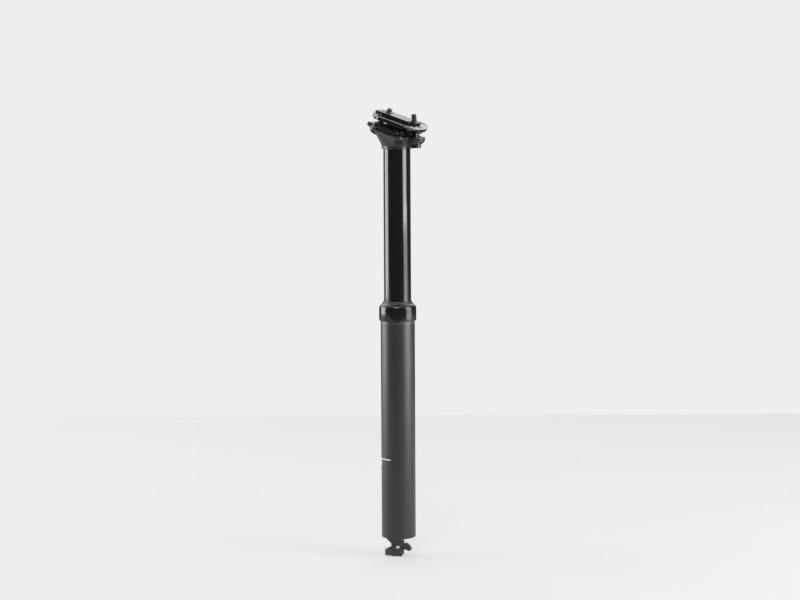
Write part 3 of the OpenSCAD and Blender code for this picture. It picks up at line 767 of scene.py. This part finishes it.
def lever_field(u, y, z):
    """Lever plate: hub, spiral cam above it, cable arm on the left and stop lug on the right."""
    z = z - PIVOT_Z
    hub_r, near, far = 3.36, -2.9, 1.3
    angle = np.arctan2(z, u)
    cam = meet(np.hypot(u, z) - 3.37 - 3.9 * (math.pi / 2 - angle), np.abs(angle - 1.52) - 0.42)
    arm = polygon(u, z, [
        (0, 2.4), (-4.6, 4.8), (-5.2, 8.7), (-11.1, 8.7), (-11.7, 7.6), (-2.4, -1.7), (0, -2.2)])
    lug = polygon(u, z, [
        (0, 2.2), (5.4, 2.9), (7.4, 3.65), (9.2, 2.5), (10.6, 1), (11.7, -0.5), (12.3, -1.6),
        (11.8, -3), (10.2, -4.1), (6.2, -2.6), (0, -2.4)])
    outline = join(join(join(cylinder(u, z, hub_r), cam, 0.3), arm + 0.03, 0.4), lug + 0.05, 0.4)
    body = meet(outline, slab(y, near, far), 0.5)
    body = remove(body, cylinder(u, z, 1.55), 0.2)
    barrel = meet(cylinder(u - ANCHOR_U, z - ANCHOR_Z + PIVOT_Z, ANCHOR_R + 0.05), ANCHOR_Y - 1.5 - y, 0.1)
    body = remove(body, barrel, 0.2)
    cable = meet(cylinder(u - ANCHOR_U, y - ANCHOR_Y, 0.8), z - ANCHOR_Z + PIVOT_Z)
    return remove(body, cable, 0.15)


def base_plug_field(u, y, z):
    body = meet(cylinder(u, y, TUBE_BORE_R - 0.02), slab(z, -TUBE_LEN, -TUBE_LEN + 12.4), 0.4)
    boss = meet(plate(u, y, 4.0, PLATE_GAP - 0.01, 0.3), slab(z, -TUBE_LEN - 4.0, -TUBE_LEN + 1), 0.4)
    groove = meet(np.abs(cylinder(u, y, 11.5)) - 0.5, z + TUBE_LEN - 0.5, 0.2)
    body = join(remove(body, groove, 0.2), boss, 0.6)
    for turn in (0, math.pi):
        a = u * math.cos(turn) - y * math.sin(turn) - 9.2
        b = u * math.sin(turn) + y * math.cos(turn)
        body = remove(body, meet(cylinder(a, b, 1.1), z + TUBE_LEN - 2, 0.2), 0.2)
    body = remove(body, meet(cylinder(u, y, 4.0), -TUBE_LEN + 4 - z, 0.1), 0.2)
    return remove(body, cylinder(u, y, 1.3), 0.15)


def turned_across(name, profile, radius, slot, body, z, node, u=0.0, segments=64):
    """A turned part whose axis runs across the plates; profile heights are y in the actuator's frame."""
    matrix = ACTUATOR_FRAME @ Matrix.Translation((u, 0, z)) @ Matrix.Rotation(-math.pi / 2, 4, "X")
    return turned(name, profile, radius, body, slot, [node], segments, matrix)


def dome_screw_field(face):
    """Low domed screw in its own frame: z runs out of the plate."""
    def field(x, y, z):
        r = np.hypot(x, y)
        dome_r, centre = 2.6, face + 1.1 - 2.6
        head = meet(meet(np.sqrt(r * r + (z - centre) ** 2) - dome_r, r - 2.05, 0.2), face - z, 0.05)
        shank = meet(meet(r - SCREW_R, 1.8 - z, 0.2), z - face - 0.2)
        return remove(join(head, shank), meet(hexagon(x, y, 1.3), face + 0.45 - z, 0.05), 0.08)
    return field


def tube_along(path, radius, sides=16):
    """Vertices and quads of a round wire along points, with flat ends."""
    path = [Vector(p) for p in path]
    verts, faces = [], []
    normal = Vector((0, 0, 1))
    for i, p in enumerate(path):
        along = (path[min(i + 1, len(path) - 1)] - path[max(i - 1, 0)]).normalized()
        normal = (normal - along * normal.dot(along)).normalized()
        across = along.cross(normal)
        for k in range(sides):
            a = TWO_PI * k / sides
            verts.append(p + radius * (math.cos(a) * normal + math.sin(a) * across))
    for i in range(len(path) - 1):
        for k in range(sides):
            m = (k + 1) % sides
            faces.append([i * sides + k, i * sides + m, (i + 1) * sides + m, (i + 1) * sides + k])
    faces.append(list(range(sides))[::-1])
    faces.append([(len(path) - 1) * sides + k for k in range(sides)])
    return [tuple(v) for v in verts], faces


def spring_path():
    """Torsion spring about the pivot: two turns, a leg on the toe's side and one up on the right."""
    r, y0, y1 = 2.3, 1.85, 2.6
    start, turns, steps = math.radians(250), 1.9, 96
    points = [(-5.6, y0, -1.0), (-4.2, y0, -1.7)]
    for i in range(steps + 1):
        a = start + turns * TWO_PI * i / steps
        points.append((r * math.cos(a), y0 + (y1 - y0) * i / steps, r * math.sin(a)))
    end = Vector(points[-1])
    points += [tuple(end.lerp(Vector((5.7, y1, 4.2)), t)) for t in (0.5, 0.9)]
    return points + [(5.85, y1, 5.0), (5.9, y1, 8.6)]


def actuator_bodies():
    """Side plates, toe, lever and the plug they hang from."""
    low, high = -PLATE_GAP - PLATE_T, PLATE_GAP
    for name, y_low, node in (("plate_near", low, "near_side_plate"), ("plate_far", high, "far_side_plate")):
        carved(name, side_plate_field(y_low), (PLATE_LEFT - 0.4, y_low - 0.4, FOOT_Z - 0.4),
               (PLATE_RIGHT + 0.4, y_low + PLATE_T + 0.4, -TUBE_LEN + 0.4), 0.2, "outer", "actuator", [node],
               ACTUATOR_FRAME)
    carved("toe", housing_stop_field, (-13.7, -5.4, FOOT_Z - 0.4), (4.3, 5.4, -212.2), 0.18,
           "outer", "actuator", ["housing_stop"], ACTUATOR_FRAME)
    carved("crank_lever", lever_field, (-12.2, -3.3, -216.8), (12.8, 1.7, -203), 0.17,
           "release_lever", "actuator", ["lever"], ACTUATOR_FRAME)
    carved("tube_plug", base_plug_field, (-14.6, -14.6, -207.3), (14.6, 14.6, -189.6), 0.36,
           "outer", "actuator", ["base_plug"], ACTUATOR_FRAME)


def actuator_fittings():
    """Plate screws, pivot pin, return spring and the cable's barrel."""
    face = PLATE_GAP + PLATE_T
    for name, sign in (("near", -1), ("far", 1)):
        turn = Matrix.Rotation(math.radians(90 * -sign), 4, "X")
        matrix = ACTUATOR_FRAME @ Matrix.Translation((0, 0, SCREW_Z)) @ turn
        carved(f"plate_screw_{name}", dome_screw_field(face), (-2.5, -2.5, 1.5), (2.5, 2.5, 6.6), 0.12,
               "outer", "screw", ["plate_screws"], matrix)
    turned_across("pivot", [(0.01, -face - 0.3), (1.5, -face - 0.3), (1.5, face + 0.4), (1.1, face + 0.4),
                            (1.1, face + 0.9), (1.5, face + 0.9), (1.5, face + 1.3), (0.01, face + 1.3)],
                  [0, 0.25, 0.05, 0.05, 0.05, 0.05, 0.25, 0], "steel", "outer", PIVOT_Z, "pivot_pin")
    verts, faces = tube_along(spring_path(), 0.3)
    make_piece("torsion_spring", verts, faces, "outer", "steel", ["return_spring"],
               ACTUATOR_FRAME @ Matrix.Translation((0, 0, PIVOT_Z)))
    low, high, screw_r, screw_end = ANCHOR_Y - 1.45, 1.7, 0.76, 0.45
    turned_across("cable_barrel", [(0.01, low), (ANCHOR_R, low), (ANCHOR_R, high), (screw_r, high),
                                   (screw_r, screw_end), (0.01, screw_end)],
                  [0, 0.2, 0.2, 0.1, 0.05, 0], "brass", "release_lever", ANCHOR_Z, "cable_anchor", ANCHOR_U)


# ---- studio and camera ----

CAMERA_AZIMUTH = 27.0
FLOOR_GLOW = 0.485
WALL = (0.853, 0.855, 0.858)


def studio():
    """Pale floor that ends at the wall; the wall is the plain world behind it."""
    mesh = bpy.data.meshes.new("studio_floor")
    half_w, front, back = 2.4, -0.75, 0.83
    corners = [(-half_w, front, 0), (half_w, front, 0), (half_w, back, 0), (-half_w, back, 0)]
    mesh.from_pydata(corners, [], [[0, 1, 2, 3]])
    floor = bpy.data.objects.new("studio_floor", mesh)
    floor.matrix_world = Matrix.Translation((0, 0, FOOT_Z * MM - 0.0002)) @ \
        Matrix.Rotation(math.radians(CAMERA_AZIMUTH), 4, "Z")
    bpy.context.scene.collection.objects.link(floor)
    m = Nodes("studio_floor_paint")
    m.shader.inputs["Base Color"].default_value = (0.18, 0.18, 0.18, 1)
    m.shader.inputs["Roughness"].default_value = 0.8
    m.shader.inputs["Specular IOR Level"].default_value = 0.0
    m.shader.inputs["Emission Color"].default_value = (1, 1, 1, 1)
    m.shader.inputs["Emission Strength"].default_value = FLOOR_GLOW
    mesh.materials.append(m.material)


def softbox(name, azimuth, elevation, distance, width, height, power, colour, aim=(0, 0, 0)):
    """Area light placed by its bearing from the object; azimuth as the camera's."""
    a, e = math.radians(azimuth), math.radians(elevation)
    away = Vector((math.sin(a) * math.cos(e), -math.cos(a) * math.cos(e), math.sin(e)))
    light = bpy.data.lights.new(name, "AREA")
    light.shape = "RECTANGLE"
    light.size, light.size_y = width, height
    light.energy = power
    light.color = colour
    lamp = bpy.data.objects.new(name, light)
    lamp.location = Vector(aim) + away * distance
    lamp.rotation_mode = "QUATERNION"
    lamp.rotation_quaternion = (-away).to_track_quat("-Z", "Y")
    bpy.context.scene.collection.objects.link(lamp)


def lights():
    """Wide strip on the left, high and low strips on the right, one in front and one above and behind."""
    softbox("left_strip", CAMERA_AZIMUTH - 101, 4, 1.7, 1.15, 1.9, 52, (1.0, 0.985, 0.96), (0, 0, 0.10))
    softbox("right_strip", CAMERA_AZIMUTH + 68, 16, 1.8, 1.05, 1.0, 34, (0.94, 0.97, 1.0), (0, 0, 0.06))
    softbox("right_low", CAMERA_AZIMUTH + 74, 5, 0.85, 0.55, 0.34, 2.7, (0.96, 0.98, 1.0), (0, 0, -0.12))
    softbox("top_front", CAMERA_AZIMUTH - 8, 58, 1.6, 0.6, 0.6, 12, (1.0, 1.0, 1.0))
    softbox("overhead", CAMERA_AZIMUTH + 180, 52, 1.7, 2.2, 1.4, 17, (1.0, 0.995, 0.985))


def world():
    """Soft light that rises towards the back and the top; the camera sees plain wall instead."""
    sky = bpy.data.worlds.new("studio_world")
    bpy.context.scene.world = sky
    sky.use_nodes = True
    tree = sky.node_tree
    tree.nodes.clear()
    coords = tree.nodes.new("ShaderNodeTexCoord")
    a, rise = math.radians(CAMERA_AZIMUTH + 10), math.radians(30)
    back = Vector((-math.sin(a) * math.cos(rise), math.cos(a) * math.cos(rise), math.sin(rise)))
    behind = world_lobe(tree, coords, back, 0.70, 0.93, 1.05)
    above = world_lobe(tree, coords, Vector((0, 0, 1)), 0.25, 0.95, 0.70)
    total = tree.nodes.new("ShaderNodeMath")
    total.operation = "ADD"
    tree.links.new(behind, total.inputs[0])
    tree.links.new(above, total.inputs[1])
    base = tree.nodes.new("ShaderNodeMath")
    base.operation = "ADD"
    base.inputs[1].default_value = 0.10
    tree.links.new(total.outputs[0], base.inputs[0])
    lit = tree.nodes.new("ShaderNodeBackground")
    tree.links.new(base.outputs[0], lit.inputs["Strength"])
    lit.inputs["Color"].default_value = (0.98, 0.99, 1.0, 1)
    seen = tree.nodes.new("ShaderNodeBackground")
    seen.inputs["Color"].default_value = (*WALL, 1)
    path = tree.nodes.new("ShaderNodeLightPath")
    mix = tree.nodes.new("ShaderNodeMixShader")
    out = tree.nodes.new("ShaderNodeOutputWorld")
    tree.links.new(path.outputs["Is Camera Ray"], mix.inputs["Fac"])
    tree.links.new(lit.outputs[0], mix.inputs[1])
    tree.links.new(seen.outputs[0], mix.inputs[2])
    tree.links.new(mix.outputs[0], out.inputs["Surface"])
    bpy.context.scene.view_settings.view_transform = "Standard"


def world_lobe(tree, coords, direction, start, full, strength):
    """Brightness that rises towards one direction."""
    dot = tree.nodes.new("ShaderNodeVectorMath")
    dot.operation = "DOT_PRODUCT"
    dot.inputs[1].default_value = direction
    tree.links.new(coords.outputs["Generated"], dot.inputs[0])
    ramp = tree.nodes.new("ShaderNodeMapRange")
    ramp.interpolation_type = "SMOOTHSTEP"
    ramp.inputs["From Min"].default_value = start
    ramp.inputs["From Max"].default_value = full
    ramp.inputs["To Min"].default_value = 0.0
    ramp.inputs["To Max"].default_value = strength
    tree.links.new(dot.outputs["Value"], ramp.inputs["Value"])
    return ramp.outputs["Result"]


def camera():
    data = bpy.data.cameras.new("camera")
    data.lens, data.sensor_width = 94.5, 36.0
    data.clip_start, data.clip_end = 0.1, 20
    cam = bpy.data.objects.new("camera", data)
    distance, height = 1.926, 0.2163
    pitch, lean, pan = math.radians(5.86), math.radians(0.30), math.radians(0.066)
    a = math.radians(CAMERA_AZIMUTH)
    cam.location = (distance * math.sin(a), -distance * math.cos(a), height)
    cam.rotation_mode = "QUATERNION"
    heading, tip = Matrix.Rotation(a - pan, 4, "Z"), Matrix.Rotation(math.pi / 2 - pitch, 4, "X")
    cam.rotation_quaternion = (heading @ tip @ Matrix.Rotation(-lean, 4, "Z")).to_quaternion()
    bpy.context.scene.collection.objects.link(cam)
    bpy.context.scene.camera = cam


def inner_parts():
    """CAD nodes that stay as they are take their slot's finish."""
    slots = {row["node"]: row["material_slot"] for row in frame["record"]["subparts"]}
    for name, obj in frame["nodes"].items():
        obj.data.materials.clear()
        obj.data.materials.append(MATERIALS[slots[name]])


camera()
inner_parts()
tubes()
insertion_marks()
head_parts()
actuator_bodies()
actuator_fittings()
studio()
lights()
world()
